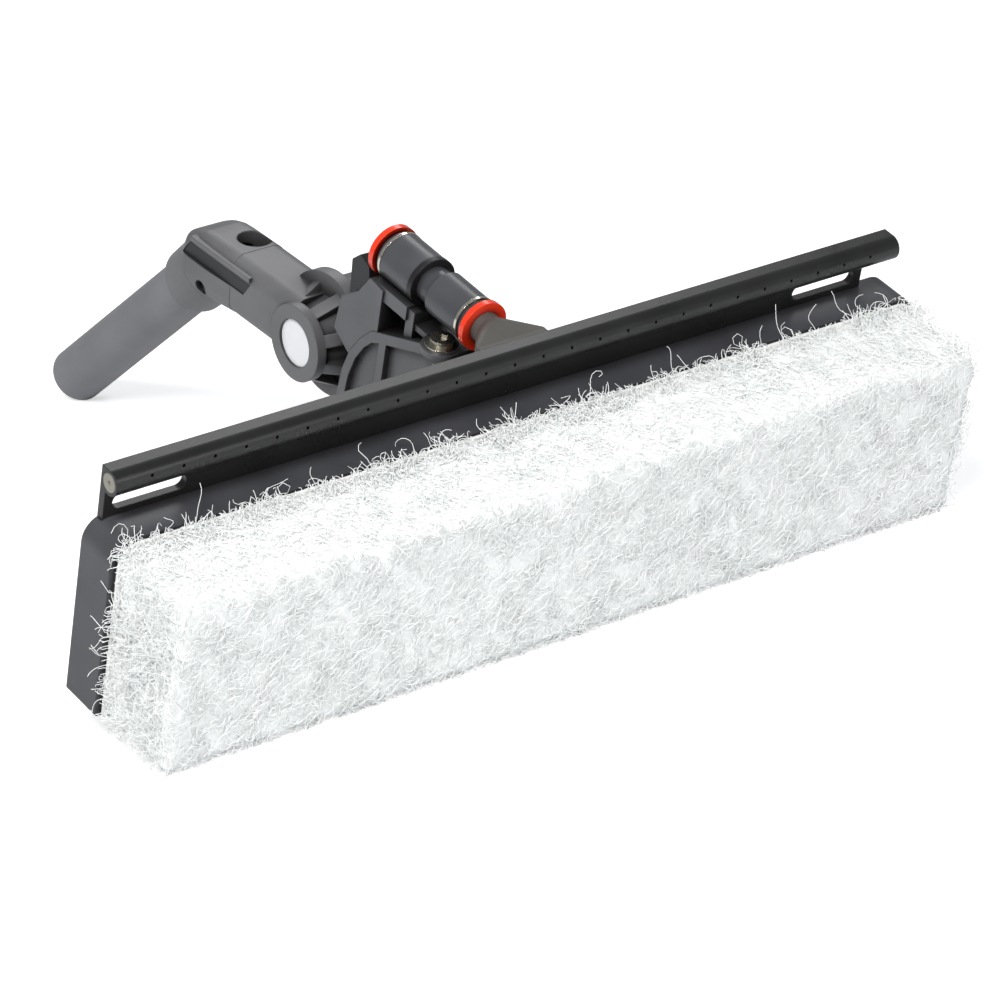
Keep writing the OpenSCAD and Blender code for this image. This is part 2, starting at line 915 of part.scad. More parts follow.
// Outside of the neck's hub, about the pivot's axis
module hub_solid() {
    bar_x(hub_left, boss_right, boss_radius);
    translate([boss_right, 0, 0])
        rotate([0, 90, 0])
            cylinder(r1 = core_left, r2 = core_right, h = rim_left - boss_right);
    intersection() {
        translate([boss_right - past / 2, 0, 0])
            rotate([0, 90, 0])
                cylinder(r1 = boss_radius - easy, r2 = hub_rib_height, h = rim_left - boss_right + past);
        for (i = [0:rib_count - 1]) {
            rotate([hub_rib_start - i * 360 / rib_count, 0, 0])
                translate([boss_right - past, -rim_radius, -hub_rib_wall / 2])
                    cube([rim_left - boss_right + 2 * past, rim_radius, hub_rib_wall]);
        }
    }
    bar_x(rim_left, rim_right, rim_radius);
}

// Everything cut from the neck's hub for the bolt, the button and the lock
module hub_cuts() {
    step = (cone_large - cone_small) / (cone_right - wall_right - 0.1);
    bar_x(hub_left - past, button_floor, button_radius + running);
    bar_x(button_floor - past, wall_right + past, bolt_radius + running);
    translate([wall_right, 0, 0])
        rotate([0, 90, 0])
            cylinder(r1 = cone_small + cone_gap - 0.1 * step,
                r2 = cone_large + cone_gap + step * (rim_right + past - cone_right),
                h = rim_right + past - wall_right);
    for (i = [0:leg_count - 1]) {
        arc_x(button_floor - past, wall_right + past, leg_inner - 0.2, leg_outer + 0.2,
            leg_start + i * 360 / leg_count - swing_up - leg_gap,
            leg_start + i * 360 / leg_count + leg_angle + swing_down + leg_gap);
    }
}

// Slanted outline of the recess in the arm's side, or of the inlay in it
module recess_outline(gap) {
    translate([recess_front, recess_low])
        polygon([
            [recess_slant + gap, gap], [gap, recess_height - gap],
            [recess_length - gap, recess_height - gap], [recess_length + recess_slant - gap, gap]
        ]);
}

// Square arm, elbow and socket in one piece with the hub
module gooseneck() {
    side = neck_x - arm_size / 2;
    color("#5a5d5f") difference() {
        union() {
            at_pivot() hub_solid();
            difference() {
                at_arm()
                    along(arm_start, elbow_back + past)
                        rounded(arm_size, arm_size, arm_corner);
                at_pivot() bar_x(rim_right, rim_right + arm_size, arm_clear);
            }
            hull() {
                at_arm()
                    along(elbow_back, elbow_back + past)
                        rounded(elbow_size, elbow_size, arm_corner, $fn = 32);
                for (i = [0:elbow_sections - 1]) {
                    translate([neck_x, pivot_back + elbow_turn_back, pivot_z - elbow_turn_drop])
                        rotate([-arm_tilt - i * (tube_angle - arm_tilt) / elbow_sections, 0, 0])
                            translate([0, 0, elbow_turn - elbow_size / 2])
                                along(-past, 0)
                                    rounded(elbow_size, elbow_size, arm_corner, $fn = 32);
                }
                at_tube()
                    translate([0, 0, socket_start])
                        cylinder(r = socket_radius + socket_step, h = 1, $fn = 32);
            }
            at_tube()
                translate([0, 0, socket_start])
                    cylinder(r1 = socket_radius, r2 = socket_radius - 0.6, h = socket_end - socket_start);
            at_arm()
                translate([-arm_size / 2 - lip_rise, recess_front, recess_low + recess_height + past])
                    cube([lip_rise + 2 * past, recess_length - past, lip_height]);
        }
        at_pivot() hub_cuts();
        at_tube() translate([0, 0, tube_start]) cylinder(r = tube_spigot + running, h = socket_end);
        at_tube() translate([0, 0, -hose_way_depth])
            cylinder(r = hose_way, h = hose_way_depth + tube_start + past);
        translate([neck_x + hose_hole_side, pivot_back + hose_hole_back, pivot_z])
            cylinder(r = hose_hole_radius, h = elbow_size);
        at_arm()
            across(-arm_size / 2 - 2 * past, recess_depth - arm_size / 2)
                recess_outline(0);
        translate([0, pivot_back + tube_screw_back, pivot_z - tube_screw_drop])
            bar_x(side - 2 * past, neck_x, tube_screw_radius + running);
    }
}

// Dark inlay in the recess of the arm's side
module arm_inlay() {
    color("#35373a")
        at_arm()
            across(inlay_sink - arm_size / 2, recess_depth - arm_size / 2)
                recess_outline(inlay_gap);
}

// Metal tube that takes the pole
module pole_tube() {
    color("#6d7072") at_tube() difference() {
        union() {
            translate([0, 0, tube_start]) cylinder(r = tube_spigot, h = socket_end);
            translate([0, 0, socket_end]) cylinder(r = tube_radius, h = tube_reach - socket_end);
        }
        translate([0, 0, tube_start - past])
            cylinder(r = tube_bore, h = tube_reach - tube_start + 2 * past);
    }
}

// Set screw that holds the tube in its socket
module tube_screw() {
    side = neck_x - arm_size / 2 + tube_screw_depth;
    color("#26272a")
        translate([0, pivot_back + tube_screw_back, pivot_z - tube_screw_drop])
            difference() {
                bar_x(side, neck_x - tube_radius + tube_screw_tip, tube_screw_radius);
                translate([side - past, 0, 0])
                    rotate([0, 90, 0])
                        cylinder(r = tube_screw_radius / 2, h = 2 * past, $fn = 6);
            }
}

// White push button, with legs through the hub's wall onto the lock cone
module lock_button() {
    face = hub_left + button_recess;
    color("#f2f1ec") at_pivot() {
        bar_x(face, face + button_skin, button_radius);
        for (i = [0:leg_count - 1]) {
            arc_x(face + button_skin, wall_right + 0.1, leg_inner, leg_outer,
                leg_start + i * 360 / leg_count, leg_start + i * 360 / leg_count + leg_angle);
        }
    }
}

// Friction cone of the lock, kept from turning by its square key in the bracket
module lock_cone() {
    color("#8a8c8e") at_pivot() difference() {
        union() {
            translate([wall_right + 0.1, 0, 0])
                rotate([0, 90, 0])
                    cylinder(r1 = cone_small, r2 = cone_large, h = cone_right - wall_right - 0.1);
            across(cone_right - past, key_right) square([key_size, key_size], center = true);
        }
        bar_x(wall_right - past, key_right + past, cone_bore);
        bar_x(spring_left, key_right + past, spring_radius + spring_wire + easy);
    }
}

// Spring that presses the lock cone into the neck's hub
module lock_spring() {
    steps = 20;
    sides = 8;
    run = pocket_end - spring_left - 2 * spring_wire;
    total = steps * spring_turns;
    points = [for (i = [0:total], j = [0:sides - 1])
        let (a = i * 360 / steps, b = j * 360 / sides, r = spring_radius + spring_wire * cos(b))
        [spring_left + spring_wire + run * i / total + spring_wire * sin(b), r * cos(a), r * sin(a)]];
    walls = [for (i = [0:total - 1], j = [0:sides - 1])
        [i * sides + j, i * sides + (j + 1) % sides, (i + 1) * sides + (j + 1) % sides, (i + 1) * sides + j]];
    first = [for (j = [0:sides - 1]) sides - 1 - j];
    last = [for (j = [0:sides - 1]) total * sides + j];
    color("#b5b7b8") at_pivot() polyhedron(points, concat(walls, [first, last]));
}

// Bolt on which the neck turns
module pivot_bolt() {
    color("#8d9092") at_pivot() difference() {
        union() {
            bar_x(button_floor - bolt_head, button_floor, bolt_head_radius);
            bar_x(button_floor, bolt_end, bolt_radius);
        }
        translate([button_floor - bolt_head - past, 0, 0])
            rotate([0, 90, 0])
                cylinder(r = bolt_radius * 0.75, h = 2.5 * past, $fn = 6);
    }
}

module pivot_nut() {
    left = nut_seat + washer_thickness;
    color("#8d9092") at_pivot() difference() {
        translate([left, 0, 0])
            rotate([0, 90, 0])
                cylinder(r = nut_flats / 2 / cos(30), h = nut_height, $fn = 6);
        bar_x(left - past, left + nut_height + past, bolt_radius + running);
    }
}

module pivot_washer() {
    color("#b9bbbc") at_pivot() difference() {
        bar_x(nut_seat, nut_seat + washer_thickness, washer_radius);
        bar_x(nut_seat - past, nut_seat + washer_thickness + past, bolt_radius + running);
    }
}

// Cap over the nut
module pivot_cap() {
    color("#3c3e40") at_pivot() bar_x(cap_left, hub_end, nut_pocket - running);
}

place() rinse_bar();
place() left_end_plug();
place() right_end_plug();
place() pad_holder();
place() holder_cover();
place() cover_screws();
place() hook_sheet();
place() loop_sheet();
place() fibre_pad();
place() inlet_manifold();
place() inlet_seal();
place() manifold_screws();
place() pivot_bracket();
place() bracket_screws();
place() union_saddle();
place() saddle_screws();
place() saddle_washers();
place() hose_rest();
place() union_body();
place() union_ring();
place() front_collet();
place() rear_collet();
place() front_cap_ring();
place() rear_cap_ring();
place() front_grab_ring();
place() rear_grab_ring();
place() front_seal();
place() rear_seal();
place() gooseneck();
place() arm_inlay();
place() pole_tube();
place() tube_screw();
place() lock_button();
place() lock_cone();
place() lock_spring();
place() pivot_bolt();
place() pivot_nut();
place() pivot_washer();
place() pivot_cap();
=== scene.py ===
# %% [markdown]
# A scrubbing head for windows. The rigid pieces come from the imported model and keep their
# places. This lesson gives each of them its finish, makes the curly fibre pad, and sets up
# the studio. Every length in the head's own frame is in millimetres: X runs along the bar,
# Y runs back to the pole, Z runs up the pad.

# %% Load the frame
import math
import bmesh
import bpy
import numpy as np
from mathutils import Matrix, Vector, noise


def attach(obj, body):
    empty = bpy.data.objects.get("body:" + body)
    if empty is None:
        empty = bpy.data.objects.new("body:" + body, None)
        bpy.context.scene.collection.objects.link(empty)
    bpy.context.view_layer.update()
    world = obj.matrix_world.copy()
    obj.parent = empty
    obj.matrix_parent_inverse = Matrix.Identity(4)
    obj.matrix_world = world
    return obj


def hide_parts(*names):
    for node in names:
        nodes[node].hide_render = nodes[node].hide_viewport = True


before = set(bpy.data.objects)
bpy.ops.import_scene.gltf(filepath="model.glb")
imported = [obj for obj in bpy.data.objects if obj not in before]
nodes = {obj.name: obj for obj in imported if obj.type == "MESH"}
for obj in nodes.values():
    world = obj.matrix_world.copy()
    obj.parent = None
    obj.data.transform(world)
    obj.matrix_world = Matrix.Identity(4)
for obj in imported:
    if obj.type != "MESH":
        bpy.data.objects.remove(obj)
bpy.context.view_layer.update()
print("loaded", len(nodes), "pieces")

# %% [markdown]
# The head lies on a table, so its own frame leans a little. One matrix takes a point of the
# head's frame, in millimetres, to the scene, in metres. It is worked out once from the angle
# at which the pad's lower edge and the tube's end both touch the table.

# %% The head's own frame
LEAN = math.radians(15.5139)
SHIFT_BACK = -123.856
SHIFT_UP = 103.728
MILLIMETRE = 0.001
HEAD = (
    Matrix.Scale(MILLIMETRE, 4)
    @ Matrix.Translation((0, SHIFT_BACK, SHIFT_UP))
    @ Matrix.Rotation(LEAN, 4, "X")
)
print("bar's middle", HEAD @ Vector((0, 0, 0)))

# %% [markdown]
# The camera comes before any finish, because shapes and colours are only worth judging from
# the photographed side. A long lens far away gives the flat look of a catalogue picture. Its
# place and its axes were solved from straight edges and circles of the head.

# %% Camera
CAMERA_PLACE = (-0.99041, -1.441485, 0.719763)
TO_THE_RIGHT = (0.7933, -0.607911, -0.033417)
BACKWARDS = (-0.5526, -0.741986, 0.379672)

camera = bpy.data.objects.new("camera", bpy.data.cameras.new("camera"))
bpy.context.scene.collection.objects.link(camera)
camera.data.sensor_width = 36.0
camera.data.lens = 180.37
camera.data.clip_end = 20.0
back = Vector(BACKWARDS).normalized()
up = back.cross(Vector(TO_THE_RIGHT).normalized()).normalized()
right = up.cross(back)
turn = Matrix((right, up, back)).transposed().to_4x4()
camera.matrix_world = Matrix.Translation(CAMERA_PLACE) @ turn
bpy.context.scene.camera = camera
print("camera at", camera.location, "lens", camera.data.lens)

# %% [markdown]
# A studio for a dark product on white: one wide soft box high on the left gives the long
# gleam on the mouldings, a lower one in front fills the shadows, and a narrow one behind
# draws the edges.

# %% Studio light
scene = bpy.context.scene
scene.view_settings.view_transform = "Standard"
LIGHT_AIM = Vector((0, 0, 0.05))


def soft_box(name, place, size, watts):
    lamp = bpy.data.objects.new(name, bpy.data.lights.new(name, "AREA"))
    lamp.data.shape = "RECTANGLE"
    lamp.data.size, lamp.data.size_y = size
    lamp.data.energy = watts
    lamp.rotation_euler = (LIGHT_AIM - Vector(place)).to_track_quat("-Z", "Y").to_euler()
    lamp.location = place
    scene.collection.objects.link(lamp)


soft_box("key_light", (-1.3, -1.0, 1.8), (0.9, 0.9), 51)
soft_box("fill_light", (0.4, -2.0, 0.7), (1.0, 0.8), 10)
soft_box("rim_light", (0.9, 1.3, 1.5), (1.2, 0.6), 9)

# %% [markdown]
# The camera sees a white backdrop, while everything else is lit by a dimmer, slightly blue
# one. So the picture's ground is white and the head still has shaded sides.

# %% World
ROOM_LIGHT = 0.30

world = bpy.data.worlds.new("studio")
scene.world = world
world.use_nodes = True
tree = world.node_tree
tree.nodes.clear()
world_out = tree.nodes.new("ShaderNodeOutputWorld")
soft = tree.nodes.new("ShaderNodeBackground")
soft.inputs["Color"].default_value = (0.95, 0.97, 1.0, 1)
soft.inputs["Strength"].default_value = ROOM_LIGHT
plain = tree.nodes.new("ShaderNodeBackground")
plain.inputs["Color"].default_value = (1, 1, 1, 1)
plain.inputs["Strength"].default_value = 1.0
path = tree.nodes.new("ShaderNodeLightPath")
pick = tree.nodes.new("ShaderNodeMixShader")
tree.links.new(path.outputs["Is Camera Ray"], pick.inputs[0])
tree.links.new(soft.outputs[0], pick.inputs[1])
tree.links.new(plain.outputs[0], pick.inputs[2])
tree.links.new(pick.outputs[0], world_out.inputs["Surface"])
print("world strength", ROOM_LIGHT)

# %% [markdown]
# The floor is pale and plain. A white floor that is merely lit turns grey in the picture, so
# its colour is lifted for the camera only: the shader adds a fixed share of white, and the
# head's own shadow stays.

# %% Floor
FLOOR_HALF = 6.0
FLOOR_GLOW = 0.52

bm = bmesh.new()
bmesh.ops.create_grid(bm, x_segments=1, y_segments=1, size=FLOOR_HALF)
floor_mesh = bpy.data.meshes.new("floor")
bm.to_mesh(floor_mesh)
bm.free()
floor = bpy.data.objects.new("floor", floor_mesh)
scene.collection.objects.link(floor)
floor_look = bpy.data.materials.new("pale_floor")
floor_look.use_nodes = True
ft = floor_look.node_tree
fb = ft.nodes["Principled BSDF"]
fb.inputs["Base Color"].default_value = (0.86, 0.87, 0.88, 1)
fb.inputs["Roughness"].default_value = 0.9
glow = ft.nodes.new("ShaderNodeEmission")
glow.inputs["Color"].default_value = (1, 1, 1, 1)
glow.inputs["Strength"].default_value = FLOOR_GLOW
both = ft.nodes.new("ShaderNodeAddShader")
for_camera = ft.nodes.new("ShaderNodeMixShader")
floor_path = ft.nodes.new("ShaderNodeLightPath")
ft.links.new(fb.outputs[0], both.inputs[0])
ft.links.new(glow.outputs[0], both.inputs[1])
ft.links.new(floor_path.outputs["Is Camera Ray"], for_camera.inputs[0])
ft.links.new(fb.outputs[0], for_camera.inputs[1])
ft.links.new(both.outputs[0], for_camera.inputs[2])
ft.links.new(for_camera.outputs[0], ft.nodes["Material Output"].inputs["Surface"])
floor.data.materials.append(floor_look)
print("floor is stage")

# %% [markdown]
# All finishes are made of the same few steps: noise in the piece's own coordinates, two
# tones of a colour, a bump, and a shading that rounds the edges without touching the frame's
# meshes. Each step is a small function here.

# %% Steps of a finish
EDGE_SAMPLES = 4


def new_look(name):
    look = bpy.data.materials.new(name)
    look.use_nodes = True
    return look, look.node_tree, look.node_tree.nodes["Principled BSDF"]


def add_node(tree, kind, **inputs):
    """A node with inputs set by name, where an underscore stands for a space."""
    node = tree.nodes.new(kind)
    for name, value in inputs.items():
        node.inputs[name.replace("_", " ")].default_value = value
    return node


def noise_field(tree, scale, detail):
    where = add_node(tree, "ShaderNodeTexCoord")
    field = add_node(tree, "ShaderNodeTexNoise", Scale=scale, Detail=detail)
    tree.links.new(where.outputs["Object"], field.inputs["Vector"])
    return field.outputs["Fac"]


def two_tones(tree, factor, places, colours):
    """A colour that changes from the first to the second between two places of the factor."""
    ramp = add_node(tree, "ShaderNodeValToRGB")
    for k in (0, 1):
        ramp.color_ramp.elements[k].position = places[k]
        ramp.color_ramp.elements[k].color = (*colours[k], 1)
    tree.links.new(factor, ramp.inputs["Fac"])
    return ramp.outputs["Color"]


def vary_roughness(tree, shader, factor, least, most):
    spread = add_node(tree, "ShaderNodeMapRange", To_Min=least, To_Max=most)
    tree.links.new(factor, spread.inputs["Value"])
    tree.links.new(spread.outputs["Result"], shader.inputs["Roughness"])


def raise_surface(tree, shader, factor, strength, distance, edge=0.0):
    bump = add_node(tree, "ShaderNodeBump", Strength=strength, Distance=distance)
    tree.links.new(factor, bump.inputs["Height"])
    if edge:
        soften = add_node(tree, "ShaderNodeBevel", Radius=edge)
        soften.samples = EDGE_SAMPLES
        tree.links.new(soften.outputs["Normal"], bump.inputs["Normal"])
    tree.links.new(bump.outputs["Normal"], shader.inputs["Normal"])


# %% [markdown]
# Most of the head is glass-filled nylon from a mould. Such a surface is never one flat
# colour: it has a fine spark-eroded grain, faint flow clouds and slightly rounded edges that
# catch the light. Where ribs stand close together, an ambient occlusion node paints shade into
# the base colour, darker towards the bottom of the hollow. Lengths in a finish are in metres.

# %% Moulded plastic
CLOUD_SCALE = 38.0
GRAIN_HEIGHT = 0.00012
PAINTED_SHADE_SAMPLES = 8
GLOSSIER, DULLER = 0.06, 0.08


def moulded(name, colour, rough=0.42, grain=0.25, cloud=0.12, edge=0.0004,
            fine=2600.0, depth=0.0):
    look, tree, shader = new_look(name)
    flow = noise_field(tree, CLOUD_SCALE, 5.0)
    low = [c * (1 - cloud) for c in colour]
    high = [min(c * (1 + cloud), 1) for c in colour]
    tone = two_tones(tree, flow, (0.3, 0.7), (low, high))
    # When depth is above zero, ambient occlusion paints shade into the base colour: hollows
    # within depth metres get darker.
    if depth:
        painted_shade = add_node(tree, "ShaderNodeAmbientOcclusion", Distance=depth)
        painted_shade.samples = PAINTED_SHADE_SAMPLES
        shade_scaled = add_node(tree, "ShaderNodeVectorMath")
        shade_scaled.operation = "SCALE"
        tree.links.new(tone, painted_shade.inputs["Color"])
        tree.links.new(painted_shade.outputs["Color"], shade_scaled.inputs[0])
        tree.links.new(painted_shade.outputs["AO"], shade_scaled.inputs["Scale"])
        tone = shade_scaled.outputs["Vector"]
    tree.links.new(tone, shader.inputs["Base Color"])
    vary_roughness(tree, shader, flow, rough - GLOSSIER, rough + DULLER)
    raise_surface(tree, shader, noise_field(tree, fine, 3.0), grain, GRAIN_HEIGHT, edge)
    return look


# %% [markdown]
# Metal needs less: a plated ring is smooth and bright, a screw is duller. One fine noise
# stands for wear and for the marks of the tool, and changes tone, gloss and height together.

# %% Metal
WEAR_SCALE = 420.0
MARK_HEIGHT = 0.0001
METAL_EDGE = 0.0002
WORN = 0.72


def turned_metal(name, colour, rough=0.28, marks=0.15):
    look, tree, shader = new_look(name)
    shader.inputs["Metallic"].default_value = 1.0
    wear = noise_field(tree, WEAR_SCALE, 6.0)
    tone = two_tones(tree, wear, (0.25, 0.75), ([c * WORN for c in colour], colour))
    tree.links.new(tone, shader.inputs["Base Color"])
    vary_roughness(tree, shader, wear, rough * 0.7, rough * 1.4)
    raise_surface(tree, shader, wear, marks, MARK_HEIGHT, METAL_EDGE)
    return look


# %% [markdown]
# Each kind of piece gets its own tint, because the mouldings come from different presses.
# The bar is nearly black and the glossiest, the tray behind the pad is a dark grey, the neck
# and the bracket are mid greys, and the union's body is smoother and darker than they are.

# %% Finishes
# depth in a finish is how far its painted shade of hollows reaches, in metres.
plastics = {
    "bar_grey": dict(colour=(0.0105, 0.0108, 0.0107), rough=0.28, grain=0.16, cloud=0.22,
                     edge=0.0005),
    "plug_beige": dict(colour=(0.26, 0.25, 0.21), rough=0.55, grain=0.35),
    "tray_black": dict(colour=(0.052, 0.053, 0.059), grain=0.30, cloud=0.20, edge=0.0006),
    "neck_grey": dict(colour=(0.128, 0.129, 0.134), rough=0.40, grain=0.45, cloud=0.16,
                      edge=0.0009, depth=0.012),
    "tube_grey": dict(colour=(0.165, 0.166, 0.176), rough=0.46, grain=0.40),
    "bracket_grey": dict(colour=(0.098, 0.100, 0.106), rough=0.38, grain=0.40, cloud=0.16,
                         edge=0.0007, depth=0.014),
    "union_grey": dict(colour=(0.066, 0.068, 0.074), rough=0.28, grain=0.15, cloud=0.18,
                       edge=0.0006, depth=0.006),
    "inlet_brown": dict(colour=(0.078, 0.074, 0.066), rough=0.50, grain=0.35, cloud=0.16,
                        edge=0.0008),
    # The arm_inlay finish is painted shade: a dark flat sheet stands in for the shadow in the
    # arm's recess.
    "painted_recess_shade": dict(colour=(0.024, 0.025, 0.027), rough=0.6, grain=0.5, edge=0.0003),
    "soft_black": dict(colour=(0.008, 0.008, 0.009), rough=0.38, grain=0.2, edge=0.0005),
    "collet_red": dict(colour=(0.88, 0.042, 0.010), rough=0.26, grain=0.08, cloud=0.10,
                       depth=0.003),
    "button_white": dict(colour=(0.86, 0.87, 0.88), rough=0.35, grain=0.10, cloud=0.03),
    "seal_black": dict(colour=(0.006, 0.006, 0.006), rough=0.6, grain=0.2, edge=0),
    "hook_black": dict(colour=(0.012, 0.012, 0.013), rough=0.9, grain=1.0, fine=900.0, edge=0),
    "loop_white": dict(colour=(0.80, 0.80, 0.78), rough=0.9, grain=1.0, fine=700.0, edge=0),
}
metals = {
    "screw_steel": dict(colour=(0.52, 0.51, 0.50)),
    "dark_bronze": dict(colour=(0.42, 0.40, 0.34), rough=0.25),
    "nickel": dict(colour=(0.86, 0.82, 0.72), rough=0.16, marks=0.05),
}
finishes = {name: moulded(name, **how) for name, how in plastics.items()}
finishes.update({name: turned_metal(name, **how) for name, how in metals.items()})
red_shader = finishes["collet_red"].node_tree.nodes["Principled BSDF"]
red_shader.inputs["Coat Weight"].default_value = 0.3
print("finishes", len(finishes))

# %% [markdown]
# Each finish now goes to the pieces that are made of it. The pieces themselves stay as they
# came from the frame.

# %% Give every piece its finish
pieces_in = {
    "bar_grey": ["rinse_bar"],
    "plug_beige": ["left_end_plug", "right_end_plug"],
    "tray_black": ["pad_holder", "holder_cover"],
    "neck_grey": ["gooseneck"],
    "tube_grey": ["pole_tube"],
    "bracket_grey": ["pivot_bracket", "union_saddle", "lock_cone", "pivot_cap"],
    "union_grey": ["union_body"],
    "inlet_brown": ["inlet_manifold"],
    # arm_inlay is a dark sheet of painted shade in the arm's recess.
    "painted_recess_shade": ["arm_inlay"],
    "soft_black": ["hose_rest", "union_ring", "tube_screw"],
    "collet_red": ["front_collet", "rear_collet"],
    "button_white": ["lock_button"],
    "seal_black": ["inlet_seal", "front_seal", "rear_seal"],
    "hook_black": ["hook_sheet"],
    "loop_white": ["loop_sheet", "fibre_pad"],
    "screw_steel": ["cover_screws", "manifold_screws", "bracket_screws", "front_grab_ring",
                    "rear_grab_ring", "lock_spring", "pivot_bolt", "pivot_nut",
                    "pivot_washer"],
    "dark_bronze": ["saddle_screws"],
    "nickel": ["saddle_washers", "front_cap_ring", "rear_cap_ring"],
}
for finish, names in pieces_in.items():
    for name in names:
        mesh = nodes[name].data
        mesh.materials.clear()
        mesh.materials.append(finishes[finish])
print("dressed", sum(len(names) for names in pieces_in.values()), "of", len(nodes))

# %% [markdown]
# The pad is a lofty white non-woven: coarse curly fibres bonded where they cross, cut into a
# block. A smooth block with a bump map looks like foam, so the pad is made in two layers. The
# first is a dense core with a lumpy surface. A cube is bevelled, cut into small faces and
# pushed in and out by noise.

# %% Pad core
PAD_SIDE, PAD_FRONT, PAD_BACK = 176.5, -57.1, -20.1
PAD_LOW, PAD_HIGH = -91.8, -20.8
UPPER_ROUND, LOWER_ROUND = 8.6, 1.6
ROUND_STEPS = 4
CELL = 4.0
# How far the core stays inside the pad: at the sides and at the front
SIDE_MARGIN, FRONT_MARGIN = 1.5, 1.2
# Size and height of the two waves on its surface, and how near the back it stays flat
WAVES = ((0.11, 0.9), (0.35, 0.6))
FLAT_BACK = 0.8


def dense_core():
    bm = bmesh.new()
    bmesh.ops.create_cube(bm, size=1.0)
    size = Vector((2 * PAD_SIDE, PAD_BACK - PAD_FRONT - FRONT_MARGIN, PAD_HIGH - PAD_LOW))
    size -= Vector((2 * SIDE_MARGIN, 0, 2 * SIDE_MARGIN))
    middle = Vector((0, (PAD_BACK + PAD_FRONT + FRONT_MARGIN) / 2, (PAD_HIGH + PAD_LOW) / 2))
    bmesh.ops.scale(bm, vec=size, verts=bm.verts)
    for sign, round_by in ((1, UPPER_ROUND), (-1, LOWER_ROUND)):
        along_y = [e for e in bm.edges if abs((e.verts[0].co - e.verts[1].co).y) > 1]
        chosen = [e for e in along_y if e.verts[0].co.z * sign > size.z / 2 - 0.1]
        bmesh.ops.bevel(bm, geom=chosen, offset=round_by, offset_type="OFFSET", affect="EDGES",
                        segments=ROUND_STEPS, profile=0.5, material=-1)
    for axis, span in enumerate(size):
        normal = Vector((0, 0, 0))
        normal[axis] = 1
        count = int(span / CELL)
        for k in range(1, count):
            at = -span / 2 + span * k / count
            bmesh.ops.bisect_plane(bm, geom=bm.verts[:] + bm.edges[:] + bm.faces[:], dist=1e-4,
                                   plane_co=normal * at, plane_no=normal)
    bmesh.ops.translate(bm, vec=middle, verts=bm.verts)
    bm.normal_update()
    for v in bm.verts:
        wave = sum(noise.noise(v.co * scale) * height for scale, height in WAVES)
        if v.co.y < PAD_BACK - FLAT_BACK:
            v.co += v.normal * wave
    bmesh.ops.transform(bm, matrix=HEAD, verts=bm.verts)
    mesh = bpy.data.meshes.new("pad_core")
    bm.to_mesh(mesh)
    bm.free()
    mesh.shade_smooth()
    core = bpy.data.objects.new("pad_core", mesh)
    scene.collection.objects.link(core)
    return core


pad_core = dense_core()
print("core faces", len(pad_core.data.polygons))

# %% [markdown]
# The core's finish shows what lies between the loose fibres: thin threads crossing at every
# angle with small shaded gaps. Stretched noise, turned three ways, gives crossing lines at
# the size of the real fibre, and the lines drive both the colour and the bump.

# %% Finish of the pad
THREAD_TURNS = ((0.3, 0.5, 0.0), (1.2, 0.2, 0.9), (0.4, 1.3, 2.0))
THREAD_SCALE = (900, 260, 900)
THREAD_HEIGHT, THREAD_STRENGTH = 0.0005, 0.45


def crossing_threads(name, light, shade):
    look, tree, shader = new_look(name)
    where = add_node(tree, "ShaderNodeTexCoord")
    total = None
    for turn_by in THREAD_TURNS:
        place = add_node(tree, "ShaderNodeMapping", Rotation=turn_by, Scale=THREAD_SCALE)
        lines = add_node(tree, "ShaderNodeTexNoise", Scale=1.0, Detail=2.0, Distortion=1.6)
        tree.links.new(where.outputs["Object"], place.inputs["Vector"])
        tree.links.new(place.outputs["Vector"], lines.inputs["Vector"])
        if total is None:
            total = lines.outputs["Fac"]
        else:
            keep = add_node(tree, "ShaderNodeMath")
            keep.operation = "MAXIMUM"
            tree.links.new(total, keep.inputs[0])
            tree.links.new(lines.outputs["Fac"], keep.inputs[1])
            total = keep.outputs["Value"]
    tone = two_tones(tree, total, (0.46, 0.62), (shade, light))
    tree.links.new(tone, shader.inputs["Base Color"])
    shader.inputs["Roughness"].default_value = 0.75
    raise_surface(tree, shader, total, THREAD_STRENGTH, THREAD_HEIGHT)
    return look


core_white = crossing_threads("core_white", (0.955, 0.965, 0.955), (0.83, 0.852, 0.84))
pad_core.data.materials.append(core_white)
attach(pad_core, "head")
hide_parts("fibre_pad")

# %% [markdown]
# The second layer is real fibre: thousands of short curved threads that start and end inside
# the core. Each is a curve with a thin section of four sides. On a face with axes u and v it
# turns at its own rate, so it curls, and it arches out of the face and back.

# %% Loose fibres
FIBRE_RADIUS = 0.15
# Threads on a square millimetre of the pad's surface
FIBRE_DENSITY = 0.20
# Least and most of a thread's length, height over the face and turn per millimetre
FIBRE_LENGTH, FIBRE_ARCH, FIBRE_BEND = (6, 14), (0.3, 1.7), (0.08, 0.5)
# How deep its ends lie, the change of its turn, and the number of its points
FIBRE_SUNK, FIBRE_DRIFT, FIBRE_POINTS = 0.6, 0.10, 8
# How far under the pad's sides, front and back the threads grow
UNDER_SIDE, UNDER_FRONT, UNDER_BACK = 1.0, 0.8, 0.6


def faces_of_pad():
    """Each face of the block: a corner, two edge vectors and the way out."""
    w, low, high = PAD_SIDE - UNDER_SIDE, PAD_LOW + UNDER_SIDE, PAD_HIGH - UNDER_SIDE
    front, rear = PAD_FRONT + UNDER_FRONT, PAD_BACK - UNDER_BACK
    return [
        ((-w, front, low), (2 * w, 0, 0), (0, 0, high - low), (0, -1, 0)),
        ((-w, front, high), (2 * w, 0, 0), (0, rear - front, 0), (0, 0, 1)),
        ((-w, front, low), (2 * w, 0, 0), (0, rear - front, 0), (0, 0, -1)),
        ((-w, front, low), (0, rear - front, 0), (0, 0, high - low), (-1, 0, 0)),
        ((w, front, low), (0, rear - front, 0), (0, 0, high - low), (1, 0, 0)),
    ]


